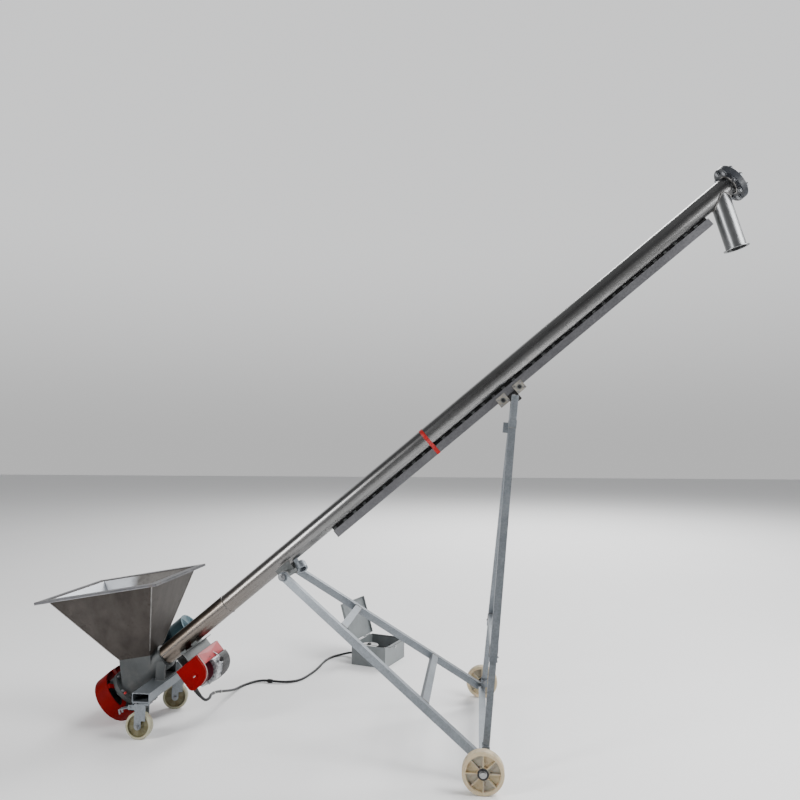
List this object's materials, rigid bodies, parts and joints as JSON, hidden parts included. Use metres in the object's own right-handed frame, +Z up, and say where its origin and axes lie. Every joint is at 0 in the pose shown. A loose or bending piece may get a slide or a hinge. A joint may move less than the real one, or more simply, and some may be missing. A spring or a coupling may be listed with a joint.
{
  "type": "grain auger",
  "caption": "Inclined tube screw conveyor with a square feed hopper, belt-driven screw, raising frame on two wheels, two casters, hoist and a control box on a cable.",
  "frame": {"origin": "on the ground, at the middle of the whole outfit's footprint box, cable left out", "axes": "+X horizontally uphill along the conveyor, +Y to the side that the control box stands on, +Z up"},
  "size_m": [3.9956, 2.3165, 3.2224],
  "materials": {
    "stainless": "satin",
    "galvanised": "satin",
    "dark_steel": "satin",
    "blue_grey_paint": "satin",
    "red_paint": "gloss",
    "teal_paint": "gloss",
    "black_paint": "satin",
    "box_paint": "satin",
    "cast_silver": "matte",
    "zinc": "satin",
    "nylon": "satin",
    "caster_nylon": "satin",
    "cast": "matte",
    "shaft_steel": "satin",
    "belt_rubber": "matte",
    "sheath": "satin",
    "black_plastic": "satin",
    "white_plastic": "satin",
    "trolley_grey": "satin"
  },
  "bodies": {
    "conveyor": {"main_tube": "stainless", "doubling_shell": "stainless", "discharge_spout": "stainless", "upper_flange": "dark_steel", "end_cover": "dark_steel", "flange_bolts": "dark_steel", "lower_end_plate": "blue_grey_paint", "inlet_casing": "blue_grey_paint", "hopper": "stainless", "hopper_rim": "stainless", "drive_belts": "belt_rubber", "belt_guard": "red_paint", "lower_bearing": "cast", "motor_body": "teal_paint", "motor_fan_cover": "box_paint", "motor_mount": "blue_grey_paint", "guide_rail": "galvanised", "rail_pads": "dark_steel", "pivot_lugs": "galvanised", "rope_eye": "galvanised", "caster_beam": "galvanised", "beam_uprights": "blue_grey_paint", "caster_mounts": "zinc", "hoist_channels": "galvanised", "hoist_frame": "red_paint", "hoist_gear_case": "cast_silver", "hoist_motor": "black_paint", "control_box": "box_paint", "box_fittings": "black_plastic", "power_cable": "sheath", "cable_glands": "black_plastic", "cable_ties": "white_plastic"},
    "screw": {"screw_shaft": "shaft_steel", "screw_flight": "shaft_steel", "driven_pulley": "cast"},
    "motor_rotor": {"motor_shaft": "shaft_steel", "motor_pulley": "cast"},
    "hoist_drum": {"hoist_drum": "cast"},
    "lower_frame": {"frame_tubes": "galvanised", "frame_crossbars": "galvanised", "frame_head": "galvanised", "axle_beam": "galvanised", "foot_brackets": "galvanised", "stub_axles": "shaft_steel"},
    "legs": {"leg_sleeves": "galvanised", "leg_inner_tubes": "galvanised", "leg_crossbar": "galvanised", "leg_head": "galvanised"},
    "trolley": {"trolley_body": "black_paint", "trolley_cheeks": "trolley_grey", "trolley_rollers": "shaft_steel"},
    "road_wheel_left": {"road_wheel_left": "nylon"},
    "road_wheel_right": {"road_wheel_right": "nylon"},
    "caster_left": {"caster_fork_left": "zinc"},
    "caster_right": {"caster_fork_right": "zinc"},
    "caster_wheel_left": {"caster_wheel_left": "caster_nylon"},
    "caster_wheel_right": {"caster_wheel_right": "caster_nylon"},
    "caster_brake": {"brake_pedal": "black_paint"},
    "box_lid": {"box_lid": "box_paint"},
    "selector_switch": {"selector_switch": "black_plastic"}
  },
  "joints": [
    {"name": "screw_spin", "type": "hinge", "parent": "conveyor", "child": "screw", "pos_m": [-1.60735, -0.4592, 0.1957], "axis": [0.7683, 0, 0.6401], "continuous": true},
    {"name": "motor_spin", "type": "hinge", "parent": "conveyor", "child": "motor_rotor", "pos_m": [-1.64448, -0.1592, 0.24026], "axis": [0.7683, 0, 0.6401], "continuous": true},
    {"name": "frame_tilt", "type": "hinge", "parent": "conveyor", "child": "lower_frame", "pos_m": [-0.63548, -0.4592, 0.88828], "axis": [0, -1, 0], "range_deg": [-6.5, 3.2]},
    {"name": "leg_swing", "type": "hinge", "parent": "lower_frame", "child": "legs", "pos_m": [0.49715, -0.4592, 0.15], "axis": [0, -1, 0], "range_deg": [-4.32, 8.57]},
    {"name": "trolley_travel", "type": "slide", "parent": "conveyor", "child": "trolley", "axis": [0.7683, 0, 0.6401], "range_m": [-0.1902, 0.0947]},
    {"name": "drum_turn", "type": "hinge", "parent": "conveyor", "child": "hoist_drum", "pos_m": [-1.12886, -0.4592, 0.32753], "axis": [0, 1, 0], "range_deg": [-310.1, 153.7]},
    {"name": "road_wheel_left_spin", "type": "hinge", "parent": "lower_frame", "child": "road_wheel_left", "pos_m": [0.48215, 0.2008, 0.1], "axis": [0, 1, 0], "continuous": true},
    {"name": "road_wheel_right_spin", "type": "hinge", "parent": "lower_frame", "child": "road_wheel_right", "pos_m": [0.48215, -1.1192, 0.1], "axis": [0, 1, 0], "continuous": true},
    {"name": "caster_left_swivel", "type": "hinge", "parent": "conveyor", "child": "caster_left", "pos_m": [-1.38385, -0.2192, 0.19], "axis": [0, 0, 1], "continuous": true},
    {"name": "caster_wheel_left_spin", "type": "hinge", "parent": "caster_left", "child": "caster_wheel_left", "pos_m": [-1.41461, -0.22802, 0.075], "axis": [-0.2756, 0.9613, 0], "continuous": true},
    {"name": "caster_right_swivel", "type": "hinge", "parent": "conveyor", "child": "caster_right", "pos_m": [-1.38385, -0.6992, 0.19], "axis": [0, 0, 1], "continuous": true},
    {"name": "caster_wheel_right_spin", "type": "hinge", "parent": "caster_right", "child": "caster_wheel_right", "pos_m": [-1.41585, -0.6992, 0.075], "axis": [0, 1, 0], "continuous": true},
    {"name": "brake_press", "type": "hinge", "parent": "caster_right", "child": "caster_brake", "pos_m": [-1.46185, -0.6992, 0.176], "axis": [0, -1, 0], "range_deg": [0, 18]},
    {"name": "lid_close", "type": "hinge", "parent": "conveyor", "child": "box_lid", "pos_m": [-0.43965, 0.9636, 0.153], "axis": [0.3173, 0.9483, 0], "range_deg": [0, 107]},
    {"name": "switch_turn", "type": "hinge", "parent": "conveyor", "child": "selector_switch", "pos_m": [-0.21672, 0.95228, 0.094], "axis": [0, 0, 1], "range_deg": [-45, 45]}
  ],
  "couplings": [
    {"joint": "motor_spin", "follows": "screw_spin", "ratio": 1.7857},
    {"joint": "leg_swing", "follows": "frame_tilt", "ratio": -1.2874},
    {"joint": "trolley_travel", "follows": "frame_tilt", "m_per_rad": 1.6589},
    {"joint": "drum_turn", "follows": "frame_tilt", "ratio": 47.397}
  ]
}
